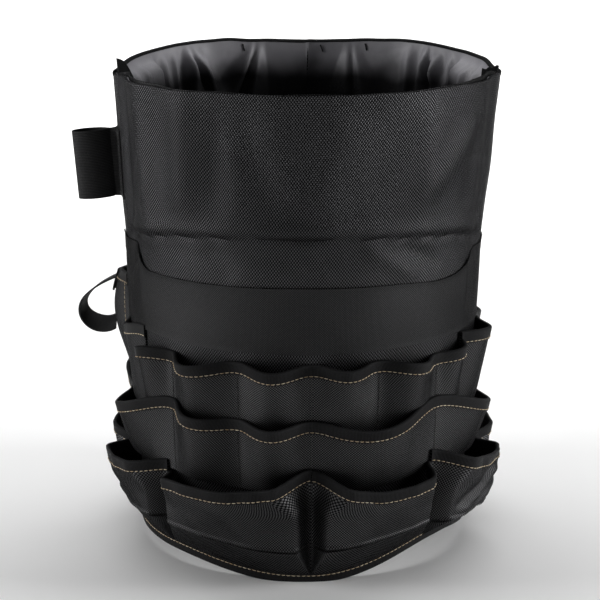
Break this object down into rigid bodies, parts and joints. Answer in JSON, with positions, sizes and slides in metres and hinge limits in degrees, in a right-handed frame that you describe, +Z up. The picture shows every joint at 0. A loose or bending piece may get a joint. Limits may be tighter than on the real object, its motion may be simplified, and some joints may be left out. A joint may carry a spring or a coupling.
{
  "type": "bucket tool organizer",
  "caption": "Tapered fabric sleeve for a bucket with rows of sewn outer pockets, edge bindings, a wide webbing loop and a small strap loop.",
  "frame": {"origin": "middle of the footprint box on the surface that the bottom hem stands on", "axes": "+Z up, -Y to the front, +X to the right as seen from the front"},
  "size_m": [0.3522, 0.3161, 0.394],
  "materials": {
    "ballistic_cloth": "coarse woven black nylon, slight sheen",
    "pocket_cloth": "coarse woven black nylon, slight sheen",
    "band_cloth": "fine black weave, smooth",
    "coated_lining": "dark grey coated back of the cloth, glossy",
    "binding_tape": "ribbed black binding tape",
    "webbing": "matt black webbing"
  },
  "bodies": {
    "organizer": {"front_panel": "ballistic_cloth", "rear_panel": "ballistic_cloth", "front_lining": "coated_lining", "rear_lining": "coated_lining", "front_rim_facing": "binding_tape", "rear_rim_piping": "binding_tape", "left_seam_binding": "binding_tape", "right_seam_binding": "binding_tape", "front_band": "band_cloth", "rear_band": "band_cloth", "front_upper_pockets": "pocket_cloth", "front_upper_binding": "binding_tape", "rear_upper_pockets": "pocket_cloth", "rear_upper_binding": "binding_tape", "tall_side_pocket": "pocket_cloth", "tall_side_binding": "binding_tape", "front_middle_pockets": "pocket_cloth", "front_middle_binding": "binding_tape", "rear_middle_pockets": "pocket_cloth", "rear_middle_binding": "binding_tape", "box_pocket_left_front": "pocket_cloth", "box_pocket_front_left": "pocket_cloth", "box_pocket_front_right": "pocket_cloth", "box_pocket_right_front": "pocket_cloth", "box_pocket_right_rear": "pocket_cloth", "box_pocket_rear_right": "pocket_cloth", "box_pocket_rear_left": "pocket_cloth", "box_pocket_left_rear": "pocket_cloth", "box_binding_left_front": "binding_tape", "box_binding_front_left": "binding_tape", "box_binding_front_right": "binding_tape", "box_binding_right_front": "binding_tape", "box_binding_right_rear": "binding_tape", "box_binding_rear_right": "binding_tape", "box_binding_rear_left": "binding_tape", "box_binding_left_rear": "binding_tape", "front_hem_binding": "binding_tape", "rear_hem_binding": "binding_tape", "tool_loop_patch": "webbing", "strap_patch": "webbing"},
    "wide_loop": {"tool_loop": "webbing"},
    "small_strap": {"strap_loop": "webbing"}
  },
  "joints": [
    {"name": "wide_loop_swing", "type": "hinge", "parent": "organizer", "child": "wide_loop", "pos_m": [-0.14111, 0, 0.313], "axis": [-0.0778, 0, 0.997], "range_deg": [-55, 55]},
    {"name": "small_strap_swing", "type": "hinge", "parent": "organizer", "child": "small_strap", "pos_m": [-0.14083, 0.03443, 0.166], "axis": [-0.3099, 0.0687, 0.9483], "range_deg": [-40, 40]}
  ]
}
